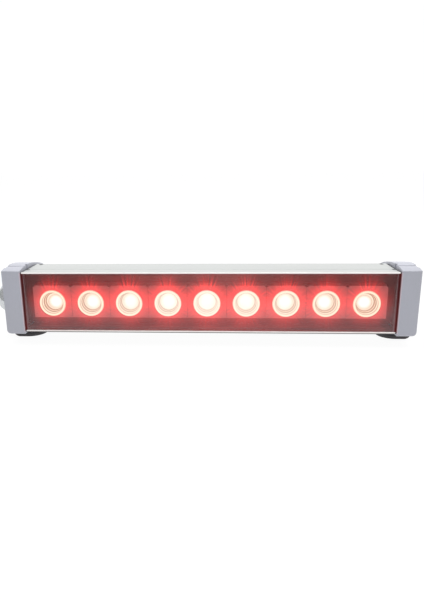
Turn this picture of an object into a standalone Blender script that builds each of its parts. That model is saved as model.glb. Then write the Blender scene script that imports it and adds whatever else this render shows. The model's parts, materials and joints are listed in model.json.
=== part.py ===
"""LED strip batten: an extruded aluminium channel with nine round lenses in a row behind a clear front,
a cover on each end, a tilting foot bracket at each end, and a cable gland through the left one.

Design frame, in millimetres: X along the batten, Y from the front face towards the back, Z up, with the
lens plates centred on Z = 0 and the covers' front faces at Y = 0. Everything hangs under one empty that puts the
world origin on the floor, under the middle of the batten.
"""

import math

import bmesh
import bpy
from mathutils import Euler, Matrix, Vector

MM = 0.001
GAP = 0.3                     # between pieces that touch

# whole batten
COVER_OUT_X = 160.0           # outer face of an end cover
COVER_IN_X = 145.5            # inner face of an end cover
BODY_HALF = 144.3             # half length of the channel
FLOOR_Z = -35.5               # underside of the feet
FRAME_SHIFT = (6.0, -31.0, -FLOOR_Z)

# channel section
LIP_Y = 0.6
TOP_Z, BOTTOM_Z = 24.3, -24.3
OPEN_TOP_Z, OPEN_BOTTOM_Z = 23.1, -22.7
INNER_TOP_Z, INNER_BOTTOM_Z = 22.0, -21.8      # optics side of the web
ROOM_TOP_Z, ROOM_BOTTOM_Z = 22.3, -22.1        # driver side of the web
SLOT_TOP_Z, SLOT_BOTTOM_Z = 22.2, -21.95       # floors of the board slots
WEB_FRONT_Y, WEB_BACK_Y = 18.2, 20.7
REAR_IN_Y, REAR_OUT_Y, FIN_TIP_Y = 50.0, 52.5, 57.0
FINS_Z = (14.0, 11.2, -11.2, -14.0, -16.8)
PORTS = ((40.0, 17.5), (44.5, -19.5))
PORT_R = 1.75

# optics
LENS_COUNT = 9
LENS_Z = -1.3                 # the lens axes lie a little below the middle of their plates
PITCH = 30.6
CELLS_PER_MODULE = 3
LENS_R = 10.3
HOLDER_FRONT_Y, HOLDER_BACK_Y, HOLDER_HALF_Z = 5.0, 16.0, 13.0

# tilt pivot
PIVOT_Y, PIVOT_Z = 35.0, -4.3
SWEEP_R = 27.0                # the covers' lower back stays inside this radius of the pivot
STRIP_W, STRIP_T, BEND_R = 26.0, 3.0, 5.5
ARM_IN_X = 161.3
FOOT_CENTRE_X = 152.5
STUD_R = 3.0
BORE_R = 3.3

# cable gland through the left end, on the pivot axis: the left bracket turns on its stem
STEM_R = 8.0
STEM_BORE_R = 8.3
GLAND_HEX_R = 11.0 / math.cos(math.pi / 6)

for old in list(bpy.data.objects):
    bpy.data.objects.remove(old, do_unlink=True)

parts = bpy.data.collections.new("led_strip_batten")
cutters = bpy.data.collections.new("cutters")
bpy.context.scene.collection.children.link(parts)
bpy.context.scene.collection.children.link(cutters)

frame = bpy.data.objects.new("batten_frame", None)
frame.location = Vector(FRAME_SHIFT) * MM
parts.objects.link(frame)


# ---------------------------------------------------------------- materials
def material(name, colour, roughness, metallic=0.0, transmission=0.0):
    mat = bpy.data.materials.new(name)
    mat.use_nodes = True
    shader = mat.node_tree.nodes["Principled BSDF"]
    shader.inputs["Base Color"].default_value = (*colour, 1.0)
    shader.inputs["Roughness"].default_value = roughness
    shader.inputs["Metallic"].default_value = metallic
    shader.inputs["Transmission Weight"].default_value = transmission
    mat.diffuse_color = (*colour, 1.0)
    return mat


CHANNEL = material("anodised_aluminium", (0.74, 0.74, 0.75), 0.35, 0.9)
COVER = material("silver_cover_paint", (0.42, 0.43, 0.47), 0.42, 0.2)
GLASS = material("clear_glass", (0.95, 0.97, 0.97), 0.04, 0.0, 0.95)
RUBBER = material("black_rubber", (0.02, 0.02, 0.02), 0.8)
HOLDER = material("lens_holder_plastic", (0.55, 0.12, 0.12), 0.45)
LENS = material("acrylic_lens", (1.0, 0.93, 0.85), 0.08, 0.0, 0.8)
BOARD = material("white_solder_mask", (0.8, 0.8, 0.78), 0.5)
EMITTER = material("led_package", (0.95, 0.8, 0.4), 0.35)
GREEN = material("driver_board_green", (0.03, 0.16, 0.07), 0.5)
DARK = material("moulded_black", (0.03, 0.03, 0.032), 0.5)
STEEL = material("zinc_plated_steel", (0.6, 0.6, 0.6), 0.3, 1.0)
BLACK_STEEL = material("black_oxide_steel", (0.02, 0.02, 0.02), 0.4, 0.8)
STRAP = material("painted_steel_strip", (0.3, 0.3, 0.31), 0.45, 0.3)
NICKEL = material("nickel_plate", (0.72, 0.72, 0.72), 0.3, 1.0)
COPPER = material("transformer_wrap", (0.75, 0.62, 0.12), 0.5)
WIRE = material("red_wire", (0.5, 0.03, 0.03), 0.5)


# ---------------------------------------------------------------- helpers
def place(obj, collection, mat=None):
    collection.objects.link(obj)
    obj.parent = frame
    if mat is not None:
        obj.data.materials.append(mat)
    if collection is cutters:
        obj.hide_render = True
        obj.display_type = "WIRE"
    return obj


def smooth(obj, angle=40.0):
    if obj.type == "MESH":
        obj.data.shade_smooth()
        obj.data.set_sharp_from_angle(angle=math.radians(angle))


def box(name, lo, hi, mat=None, collection=None, bevel=0.0, segments=1):
    """A block between two corners, with its origin at its middle."""
    lo, hi = Vector(lo), Vector(hi)
    bm = bmesh.new()
    bmesh.ops.create_cube(bm, size=1.0, matrix=Matrix.Diagonal((*((hi - lo) * MM), 1.0)))
    mesh = bpy.data.meshes.new(name)
    bm.to_mesh(mesh)
    bm.free()
    obj = bpy.data.objects.new(name, mesh)
    obj.location = (lo + hi) * 0.5 * MM
    place(obj, collection or parts, mat)
    if bevel:
        edge = obj.modifiers.new("Edges", "BEVEL")
        edge.width = bevel * MM
        edge.segments = segments
    return obj


AXES = {
    "+X": (0.0, math.pi / 2, 0.0),
    "-X": (0.0, -math.pi / 2, 0.0),
    "+Y": (-math.pi / 2, 0.0, 0.0),
    "-Y": (math.pi / 2, 0.0, 0.0),
    "+Z": (0.0, 0.0, 0.0),
}


def cylinder(name, centre, axis, radius, length, sides=24, mat=None, collection=None):
    """A round bar, or a hexagonal one with six sides, centred on its middle."""
    bm = bmesh.new()
    bmesh.ops.create_cone(bm, cap_ends=True, segments=sides, radius1=radius * MM, radius2=radius * MM, depth=length * MM)
    mesh = bpy.data.meshes.new(name)
    bm.to_mesh(mesh)
    bm.free()
    obj = bpy.data.objects.new(name, mesh)
    obj.location = Vector(centre) * MM
    obj.rotation_euler = AXES[axis]
    place(obj, collection or parts, mat)
    if sides > 6:
        smooth(obj)
    return obj


def turned(name, centre, axis, profile, steps=24, mat=None, collection=None, ring=False):
    """A profile of (radius, height) points turned round the axis: down the outer side, top to bottom."""
    mesh = bpy.data.meshes.new(name)
    points = [(r * MM, 0.0, h * MM) for r, h in profile]
    edges = [(i, i + 1) for i in range(len(points) - 1)]
    if ring:
        edges.append((len(points) - 1, 0))
    mesh.from_pydata(points, edges, [])
    obj = bpy.data.objects.new(name, mesh)
    obj.location = Vector(centre) * MM
    obj.rotation_euler = AXES[axis]
    place(obj, collection or parts, mat)
    screw = obj.modifiers.new("Turn", "SCREW")
    screw.axis = "Z"
    screw.angle = 2 * math.pi
    screw.steps = screw.render_steps = steps
    screw.use_merge_vertices = True
    screw.merge_threshold = 0.00001
    screw.use_smooth_shade = True
    return obj


def to_mesh(obj):
    """The same shape as a mesh with its caps welded on, in place of a curve."""
    bpy.context.view_layer.update()
    graph = bpy.context.evaluated_depsgraph_get()
    mesh = bpy.data.meshes.new_from_object(obj.evaluated_get(graph))
    bm = bmesh.new()
    bm.from_mesh(mesh)
    bmesh.ops.remove_doubles(bm, verts=bm.verts, dist=0.000002)
    bmesh.ops.recalc_face_normals(bm, faces=bm.faces)
    bm.to_mesh(mesh)
    bm.free()
    name, home, matrix = obj.name, obj.users_collection[0], obj.matrix_basis.copy()
    bpy.data.objects.remove(obj, do_unlink=True)
    mesh.name = name
    new = bpy.data.objects.new(name, mesh)
    new.matrix_basis = matrix
    return place(new, home)


def prism(name, axis, low, high, outline, holes=(), mat=None, collection=None, as_mesh=True):
    """A flat outline, with holes, drawn square to an axis and as thick as from low to high along it."""
    curve = bpy.data.curves.new(name, "CURVE")
    curve.dimensions = "2D"
    curve.fill_mode = "BOTH"
    curve.extrude = (high - low) * 0.5 * MM
    for loop in (outline, *holes):
        spline = curve.splines.new("POLY")
        spline.points.add(len(loop) - 1)
        for point, (a, b) in zip(spline.points, loop):
            point.co = (a * MM, b * MM, 0.0, 1.0)
        spline.use_cyclic_u = True
    obj = bpy.data.objects.new(name, curve)
    middle = (low + high) * 0.5 * MM
    if axis == "X":            # outline in (Y, Z)
        obj.rotation_euler = (math.pi / 2, 0.0, math.pi / 2)
        obj.location = (middle, 0.0, 0.0)
    elif axis == "Y":          # outline in (X, Z)
        obj.rotation_euler = (math.pi / 2, 0.0, 0.0)
        obj.location = (0.0, middle, 0.0)
    else:                      # outline in (X, Y)
        obj.location = (0.0, 0.0, middle)
    place(obj, collection or parts, mat)
    return to_mesh(obj) if as_mesh else obj


def cut(obj, *tools, operation="DIFFERENCE"):
    for tool in tools:
        step = obj.modifiers.new(f"{operation.title()} {tool.name}", "BOOLEAN")
        step.operation = operation
        step.solver = "EXACT"
        step.object = tool
    return obj


def set_origin(obj, point):
    """Moves the object's origin to a design-frame point, and leaves its shape where it is."""
    here = Matrix.Translation(Vector(point) * MM)
    obj.data.transform(here.inverted() @ obj.matrix_basis)
    obj.matrix_basis = here
    return obj


def circle(cx, cy, radius, sides, start=0.0):
    return [
        (cx + radius * math.cos(start + 2 * math.pi * i / sides), cy + radius * math.sin(start + 2 * math.pi * i / sides))
        for i in range(sides)
    ]


def arc(cx, cy, radius, first, last, steps):
    """Points along an arc, in degrees from the first axis towards the second."""
    return [
        (
            cx + radius * math.cos(math.radians(first + (last - first) * i / steps)),
            cy + radius * math.sin(math.radians(first + (last - first) * i / steps)),
        )
        for i in range(steps + 1)
    ]


# ---------------------------------------------------------------- channel
def channel_outline():
    outline = [
        (LIP_Y, TOP_Z), (11.0, TOP_Z), (11.2, TOP_Z - 0.6), (11.8, TOP_Z - 0.6), (12.0, TOP_Z),
        (36.5, TOP_Z), (48.0, 19.5), (REAR_OUT_Y, 15.4),
    ]
    for z in FINS_Z:
        outline += [(REAR_OUT_Y, z + 0.7), (FIN_TIP_Y, z + 0.5), (FIN_TIP_Y, z - 0.5), (REAR_OUT_Y, z - 0.7)]
    outline += [
        (REAR_OUT_Y, -18.2), (45.5, BOTTOM_Z), (LIP_Y, BOTTOM_Z), (LIP_Y, OPEN_BOTTOM_Z), (4.8, OPEN_BOTTOM_Z),
        (4.8, -20.8), (6.2, -20.8), (6.2, INNER_BOTTOM_Z), (WEB_FRONT_Y, INNER_BOTTOM_Z),
        (WEB_FRONT_Y, INNER_TOP_Z), (6.2, INNER_TOP_Z), (6.2, 21.2), (4.8, 21.2), (4.8, OPEN_TOP_Z), (LIP_Y, OPEN_TOP_Z),
    ]
    return outline


def chamber_outline():
    """The closed driver space behind the web, with a board slot along its top and bottom and a solid corner round each screw port."""
    return [
        (WEB_BACK_Y, ROOM_TOP_Z), (25.4, ROOM_TOP_Z), (25.4, 20.6), (26.4, 20.6), (26.4, SLOT_TOP_Z),
        (28.6, SLOT_TOP_Z), (28.6, 20.6), (29.6, 20.6), (29.6, ROOM_TOP_Z + 0.1), (35.0, ROOM_TOP_Z + 0.1),
        (36.3, 16.5), (38.0, 13.8), (43.0, 13.2), (REAR_IN_Y, 13.2), (REAR_IN_Y, -16.5), (46.0, -15.2),
        (41.3, -16.3), (40.3, -20.0), (40.3, ROOM_BOTTOM_Z - 0.1), (29.6, ROOM_BOTTOM_Z - 0.1), (29.6, -20.3), (28.6, -20.3),
        (28.6, SLOT_BOTTOM_Z), (26.4, SLOT_BOTTOM_Z), (26.4, -20.3), (25.4, -20.3), (25.4, ROOM_BOTTOM_Z),
        (WEB_BACK_Y, ROOM_BOTTOM_Z),
    ]


LOCK_X, LOCK_Y = 139.5, 33.0
FEED_X, FEED_Z = -60.0, 9.0

housing = prism(
    "housing_extrusion", "X", -BODY_HALF, BODY_HALF, channel_outline(),
    [chamber_outline(), *[circle(y, z, PORT_R, 12) for y, z in PORTS]],
)
housing.data.materials.append(CHANNEL)
cut(
    housing,
    cylinder("cut_feed_hole", (FEED_X, 19.4, FEED_Z), "+Y", 1.5, 6.0, 12, collection=cutters),
    *[
        cylinder(f"cut_lock_hole_{side}", (sign * LOCK_X, LOCK_Y, 23.5), "+Z", 1.8, 6.0, 12, collection=cutters)
        for side, sign in (("left", -1), ("right", 1))
    ],
)
smooth(housing, 25.0)

# ---------------------------------------------------------------- front glass and its seal
box(
    "front_glass", (-BODY_HALF + GAP, 0.9, OPEN_BOTTOM_Z + GAP), (BODY_HALF - GAP, 3.4, OPEN_TOP_Z - GAP),
    GLASS, bevel=0.3,
)
glass_x = BODY_HALF - GAP
seal = prism(
    "glass_gasket", "Y", 3.7, 4.5,
    [(-glass_x, -22.4), (glass_x, -22.4), (glass_x, 22.8), (-glass_x, 22.8)],
    [[(-glass_x + 1.8, -20.8), (glass_x - 1.8, -20.8), (glass_x - 1.8, 21.2), (-glass_x + 1.8, 21.2)]],
)
seal.data.materials.append(RUBBER)

# ---------------------------------------------------------------- lenses, holders, boards and emitters
half_lens = (LENS_COUNT - 1) / 2
lens_profile = [
    (0.0, -10.0), (4.4, -10.9), (5.3, -5.0), (8.8, -4.7), (9.2, -4.2), (LENS_R, -4.2), (LENS_R, -6.0), (9.4, -6.4),
    (4.3, -15.3), (2.9, -15.3), (2.6, -12.8), (0.0, -12.2),
]
for i in range(LENS_COUNT):
    x = (i - half_lens) * PITCH
    turned(f"lens_{i + 1}", (x, 0.0, LENS_Z), "-Y", lens_profile, 16, LENS)
    box(f"led_emitter_{i + 1}", (x - 1.5, 14.0, LENS_Z - 1.5), (x + 1.5, 16.0, LENS_Z + 1.5), EMITTER, bevel=0.35)

module_w = CELLS_PER_MODULE * PITCH
for m, side in enumerate(("left", "centre", "right")):
    x0 = (m - 1) * module_w - module_w / 2 + GAP / 2
    x1 = x0 + module_w - GAP
    holder = box(
        f"lens_holder_{side}", (x0, HOLDER_FRONT_Y, -HOLDER_HALF_Z), (x1, HOLDER_BACK_Y, HOLDER_HALF_Z), HOLDER,
    )
    tools = [
        box(
            f"cut_holder_back_{side}", (x0 + 1.5, HOLDER_FRONT_Y + 1.6, -HOLDER_HALF_Z + 1.5),
            (x1 - 1.5, HOLDER_BACK_Y + 2.0, HOLDER_HALF_Z - 1.5), collection=cutters,
        )
    ]
    for k in range(CELLS_PER_MODULE):
        x = ((m * CELLS_PER_MODULE + k) - half_lens) * PITCH
        tools.append(
            cylinder(f"cut_lens_seat_{side}_{k + 1}", (x, 6.0, LENS_Z), "+Y", LENS_R + GAP, 8.0, 20, collection=cutters)
        )
    cut(holder, *tools)
    # a half-round notch in each end takes a fixing peg
    notch_l = arc(x0, 0.0, 1.6, -90, 90, 6)
    notch_r = arc(x1, 0.0, 1.6, 90, 270, 6)
    board = prism(
        f"led_board_{side}", "Y", 16.3, 17.9,
        [(x0, -13.0), (x1, -13.0), *reversed(notch_r), (x1, 13.0), (x0, 13.0), *reversed(notch_l)],
    )
    board.data.materials.append(BOARD)

# ---------------------------------------------------------------- driver
box("driver_board", (-70.0, 26.7, -21.6), (110.0, 28.3, 21.8), GREEN)
box("driver_transformer", (6.0, 28.6, -13.0), (34.0, 44.0, 10.0), COPPER, bevel=1.2)
turned(
    "driver_capacitor", (60.0, 37.2, -2.0), "+X",
    [(0.0, 22.0), (7.2, 22.0), (8.0, 21.2), (8.0, 2.6), (7.3, 2.0), (8.0, 1.4), (8.0, 0.6), (7.4, 0.0), (0.0, 0.0)],
    16, DARK,
)
terminal = box("terminal_block", (-64.0, 28.6, -10.0), (-42.0, 40.0, 0.0), DARK, bevel=0.6)
cut(
    terminal,
    *[
        cylinder(f"cut_terminal_{i + 1}", (-60.0 + 7.0 * i, 40.0, -5.0), "+Y", 2.2, 10.0, 12, collection=cutters)
        for i in range(3)
    ],
)
wire = bpy.data.curves.new("led_feed_wire", "CURVE")
wire.dimensions = "3D"
wire.bevel_depth = 0.8 * MM
wire.bevel_resolution = 2
wire.use_fill_caps = True
run = wire.splines.new("POLY")
run.points.add(9)
for i, point in enumerate(run.points):
    t = i / 9
    ease = t * t * (3 - 2 * t)
    sideways = max(0.0, min(1.0, (t - 0.0) / 0.62))
    sideways = sideways * sideways * (3 - 2 * sideways)
    point.co = ((FEED_X + 7.0 * (1 - sideways)) * MM, (26.35 - (26.35 - 18.2) * t) * MM, FEED_Z * MM, 1.0)
feed = bpy.data.objects.new("led_feed_wire", wire)
place(feed, parts, WIRE)

# ---------------------------------------------------------------- end covers, seals and screws
def cover_side_outline():
    """The cover from the side: a slightly arched top, and a lower back rounded about the tilt pivot."""
    low = PIVOT_Z - 21.6
    start = math.degrees(math.asin(21.6 / SWEEP_R))
    outline = [(0.0, low + 0.8), (0.8, low)]
    outline += arc(PIVOT_Y, PIVOT_Z, SWEEP_R, -start, 12, 10)
    outline += [(61.0, 13.2), (60.3, 16.4), (58.6, 19.0), (56.0, 20.7)]
    top = [(50.0, 22.7), (44.0, 24.2), (38.0, 25.4), (31.0, 26.6), (24.0, 27.3), (18.0, 27.45)]
    outline += top
    outline += [(11.9, 27.2), (11.7, 26.6), (11.0, 26.6), (10.8, 27.05), (6.0, 26.5), (0.5, 25.5), (0.0, 25.0)]
    return outline


def cover_front_outline(sign):
    """The cover from the front: square to the channel, with its lower outer corner well rounded."""
    r = 3.6
    outline = [(COVER_IN_X, -27.0), (COVER_OUT_X - r, -25.9), *arc(COVER_OUT_X - r, -25.9 + r, r, -90, 0, 5)[1:]]
    outline += [(COVER_OUT_X, 30.0), (COVER_IN_X, 30.0)]
    return [(sign * x, z) for x, z in outline]


SEAL_OUTER = [(0.9, 24.0), (36.4, 24.0), (47.8, 19.3), (52.2, 15.2), (52.2, -18.0), (45.3, -24.0), (0.9, -24.0)]
SEAL_INNER = [(3.0, 22.0), (35.8, 22.0), (46.8, 17.6), (50.2, 14.2), (50.2, -17.6), (45.0, -22.2), (3.0, -22.2)]

for side, sign in (("left", -1), ("right", 1)):
    def span(a, b):
        """The two distances from the middle as a low and a high X on this side."""
        return (a, b) if sign > 0 else (-b, -a)

    out = "+X" if sign > 0 else "-X"

    ring = prism(f"cover_seal_{side}", "X", *span(BODY_HALF + GAP, COVER_IN_X - GAP), SEAL_OUTER, [SEAL_INNER])
    ring.data.materials.append(RUBBER)

    cover = prism(f"end_cover_{side}", "X", *span(COVER_IN_X, COVER_OUT_X), cover_side_outline())
    cover.data.materials.append(COVER)
    lo, hi = span(COVER_IN_X - 1.0, 156.5)
    pocket = box(f"cut_cover_pocket_{side}", (lo, 4.0, -21.5), (hi, 24.0, 21.5), collection=cutters)
    lo, hi = span(159.0, 162.0)
    nick = box(f"cut_cover_nick_{side}", (lo, 7.0, 25.4), (hi, 15.5, 30.0), collection=cutters)
    tools = [
        pocket,
        nick,
        cylinder(f"cut_cover_notch_{side}", (sign * COVER_IN_X, 17.0, 27.5), "+Z", 1.7, 8.0, 12, collection=cutters),
        cylinder("cut_cover_stem", (sign * 153.0, PIVOT_Y, PIVOT_Z), out, STEM_BORE_R, 20.0, 24, collection=cutters)
        if side == "left"
        else cylinder("cut_cover_bolt", (sign * 156.0, PIVOT_Y, PIVOT_Z), out, BORE_R, 14.0, 20, collection=cutters),
    ]
    for n, (y, z) in enumerate(PORTS):
        tools.append(cylinder(f"cut_cover_screw_{side}_{n}", (sign * 152.0, y, z), out, PORT_R, 20.0, 12, collection=cutters))
        tools.append(cylinder(f"cut_cover_sink_{side}_{n}", (sign * 159.0, y, z), out, 3.4, 5.6, 16, collection=cutters))
    shape = prism(f"cut_cover_front_{side}", "Y", -1.0, 64.0, cover_front_outline(sign), collection=cutters)
    cut(cover, shape, operation="INTERSECT")
    cut(cover, *tools)
    smooth(cover, 30.0)

    for (y, z), where in zip(PORTS, ("upper", "lower")):
        # a pan head with a cross-recess well, on a plain shank
        turned(
            f"cover_screw_{side}_{where}", (sign * 156.5, y, z), out,
            [(0.0, 1.1), (0.9, 1.1), (1.1, 2.4), (2.0, 2.4), (2.9, 1.5), (2.9, 0.0), (1.45, 0.0), (1.45, -24.0), (1.0, -25.0), (0.0, -25.0)],
            12, STEEL,
        )
    turned(
        f"lock_screw_{side}", (sign * LOCK_X, LOCK_Y, 0.0), "+Z",
        [(0.0, 23.0), (0.8, 23.0), (0.9, 24.1), (1.3, 24.1), (1.5, 23.9), (1.5, 21.5), (1.2, 21.2), (0.0, 21.2)],
        12, BLACK_STEEL,
    )

# ---------------------------------------------------------------- tilt pivots and brackets
for side, sign in (("left", -1), ("right", 1)):
    out = "+X" if sign > 0 else "-X"
    bore = STEM_BORE_R if side == "left" else BORE_R
    rim = 11.8 if side == "left" else 8.0

    turned(
        f"friction_washer_{side}", (0.0, PIVOT_Y, PIVOT_Z), out,
        [(rim, 161.0), (rim, 160.3), (bore, 160.3), (bore, 161.0)], 24, DARK, ring=True,
    )
    rim = 11.8 if side == "left" else 7.4
    turned(
        f"outer_washer_{side}", (0.0, PIVOT_Y, PIVOT_Z), out,
        [(rim, 165.4), (rim, 164.6), (bore, 164.6), (bore, 165.4)], 24, STEEL, ring=True,
    )

    arm_out = ARM_IN_X + STRIP_T
    bend_x, bend_z = arm_out - BEND_R, FLOOR_Z + BEND_R
    strip = [(110.0, FLOOR_Z), *arc(bend_x, bend_z, BEND_R, -90, 0, 5), (arm_out, 20.0), (ARM_IN_X, 20.0)]
    strip += [*arc(bend_x, bend_z, BEND_R - STRIP_T, 0, -90, 4), (110.0, FLOOR_Z + STRIP_T)]
    strip = [(sign * x, z) for x, z in strip]
    half = STRIP_W / 2
    bracket = prism(f"tilt_bracket_{side}", "Y", PIVOT_Y - half, PIVOT_Y + half, strip)
    bracket.data.materials.append(STRAP)
    arm_shape = [*arc(PIVOT_Y, PIVOT_Z, half + 0.01, 0, 180, 12), (PIVOT_Y - half - 0.01, -60.0), (PIVOT_Y + half + 0.01, -60.0)]
    foot_shape = [*arc(FOOT_CENTRE_X, PIVOT_Y, half + 0.01, 90, 270, 12), (180.0, PIVOT_Y - half - 0.01), (180.0, PIVOT_Y + half + 0.01)]
    foot_shape = [(sign * x, y) for x, y in foot_shape]
    low, high = (100.0, 180.0) if sign > 0 else (-180.0, -100.0)
    slot = [*arc(FOOT_CENTRE_X, PIVOT_Y + 3.0, 3.25, 0, 180, 6), *arc(FOOT_CENTRE_X, PIVOT_Y - 3.0, 3.25, 180, 360, 6)]
    slot = [(sign * x, y) for x, y in slot]
    cut(
        bracket,
        prism(f"cut_arm_shape_{side}", "X", low, high, arm_shape, collection=cutters),
        prism(f"cut_foot_shape_{side}", "Z", -50.0, 40.0, foot_shape, collection=cutters),
        operation="INTERSECT",
    )
    cut(
        bracket,
        cylinder(f"cut_arm_bore_{side}", (sign * 162.8, PIVOT_Y, PIVOT_Z), out, bore, 8.0, 24, collection=cutters),
        prism(f"cut_foot_slot_{side}", "Z", -40.0, -28.0, slot, collection=cutters),
    )
    set_origin(bracket, (sign * (ARM_IN_X + STRIP_T / 2), PIVOT_Y, PIVOT_Z))
    smooth(bracket, 30.0)

# ---------------------------------------------------------------- right pivot bolt
turned(
    "pivot_bolt_right", (0.0, PIVOT_Y, PIVOT_Z), "+X",
    [
        (0.0, 167.6), (2.6, 167.6), (2.7, 170.0), (4.9, 170.0), (5.6, 169.3), (5.6, 165.7), (STUD_R, 165.7), (STUD_R, 149.9),
        (2.5, 149.3), (0.0, 149.3),
    ],
    20, STEEL,
)

# ---------------------------------------------------------------- cable gland on the left pivot
G = (0.0, PIVOT_Y, PIVOT_Z)
gland = turned("gland_body", G, "-X", [(0.0, 175.2), (STEM_R, 175.2), (STEM_R, 141.2), (0.0, 141.2)], 24, NICKEL)
collar = cylinder("cut_gland_collar", (-167.3, PIVOT_Y, PIVOT_Z), "-X", GLAND_HEX_R, 3.2, 6, collection=cutters)
cut(gland, collar, operation="UNION")
cut(gland, cylinder("cut_gland_bore", (-158.0, PIVOT_Y, PIVOT_Z), "-X", 4.4, 50.0, 24, collection=cutters))
locknut = cylinder("gland_lock_nut", (-143.7, PIVOT_Y, PIVOT_Z), "-X", 10.0 / math.cos(math.pi / 6), 3.0, 6, NICKEL)
cut(locknut, cylinder("cut_lock_nut", (-143.7, PIVOT_Y, PIVOT_Z), "-X", STEM_BORE_R, 8.0, 24, collection=cutters))
dome = turned(
    "gland_dome_nut", G, "-X",
    [
        (0.0, 182.0), (5.1, 182.0), (5.4, 180.7), (6.0, 179.6), (6.8, 178.6), (8.3, 177.0), (9.4, 176.0), (10.3, 175.1),
        (10.8, 174.0), (11.0, 172.4), (11.0, 169.2), (0.0, 169.2),
    ],
    24, NICKEL,
)
grip = cylinder("cut_dome_hex", (-171.3, PIVOT_Y, PIVOT_Z), "-X", GLAND_HEX_R, 3.0, 6, collection=cutters)
cut(dome, grip, operation="UNION")
cut(dome, cylinder("cut_dome_thread", (-169.0, PIVOT_Y, PIVOT_Z), "-X", STEM_BORE_R, 13.0, 24, collection=cutters))
cut(dome, cylinder("cut_dome_nose", (-178.0, PIVOT_Y, PIVOT_Z), "-X", 4.4, 16.0, 24, collection=cutters))
turned(
    "gland_seal", G, "-X", [(4.1, 181.2), (4.1, 168.0), (3.2, 168.0), (3.2, 181.2)], 20, RUBBER, ring=True,
)
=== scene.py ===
import json
import math

import bmesh
import bpy
import numpy as np
from mathutils import Matrix, Vector


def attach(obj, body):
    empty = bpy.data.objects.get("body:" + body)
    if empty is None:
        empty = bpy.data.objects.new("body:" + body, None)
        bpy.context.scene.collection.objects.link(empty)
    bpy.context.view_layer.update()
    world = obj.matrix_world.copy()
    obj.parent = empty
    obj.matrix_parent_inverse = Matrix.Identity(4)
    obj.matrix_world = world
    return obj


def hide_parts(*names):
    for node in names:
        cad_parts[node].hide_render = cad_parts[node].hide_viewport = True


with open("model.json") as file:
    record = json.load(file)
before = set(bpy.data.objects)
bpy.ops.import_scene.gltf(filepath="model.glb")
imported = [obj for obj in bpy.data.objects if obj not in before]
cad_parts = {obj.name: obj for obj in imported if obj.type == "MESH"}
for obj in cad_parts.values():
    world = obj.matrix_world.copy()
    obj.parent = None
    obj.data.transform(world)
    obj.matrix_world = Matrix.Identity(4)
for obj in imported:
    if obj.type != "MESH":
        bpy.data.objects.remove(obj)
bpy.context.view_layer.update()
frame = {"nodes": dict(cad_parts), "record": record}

MM = 0.001
ROOT = "housing"
PITCH = 30.6
LENS_Z = -1.3
PIVOT = (35.0, -4.3)
PORTS = ((40.0, 17.5), (44.5, -19.5))


def W(x, y, z):
    """Design millimetres (lens row at z = 0, cover fronts at y = 0) to the frame's metres."""
    return Vector(((x + 6.0) * MM, (y - 31.0) * MM, (z + 35.5) * MM))


# ------------------------------------------------------------------ camera
CAM_F, CAM_C = 524.1, (12.59, -390.03, 106.10)
CAM_YAW, CAM_PITCH, CAM_ROLL = 3.73, -14.82, 0.80
CAM_SHIFT = 22.0 / 600.0


def make_camera():
    yaw, pitch, roll = (math.radians(a) for a in (CAM_YAW, CAM_PITCH, CAM_ROLL))
    r = Matrix.Rotation(yaw, 3, "Z") @ Matrix.Rotation(pitch, 3, "X") @ Matrix.Rotation(roll, 3, "Y")
    right, ahead, up = (r.col[i] for i in range(3))
    cam = bpy.data.objects.new("camera", bpy.data.cameras.new("camera"))
    cam.data.sensor_width = 36.0
    cam.data.lens = CAM_F * 36.0 / 600.0
    cam.data.shift_x = CAM_SHIFT
    cam.data.clip_start, cam.data.clip_end = 0.01, 50.0
    m = Matrix.Identity(4)
    for i, axis in enumerate((right, up, -ahead)):
        for j in range(3):
            m[j][i] = axis[j]
    m.translation = W(*CAM_C)
    cam.matrix_world = m
    bpy.context.scene.collection.objects.link(cam)
    bpy.context.scene.camera = cam


make_camera()


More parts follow.
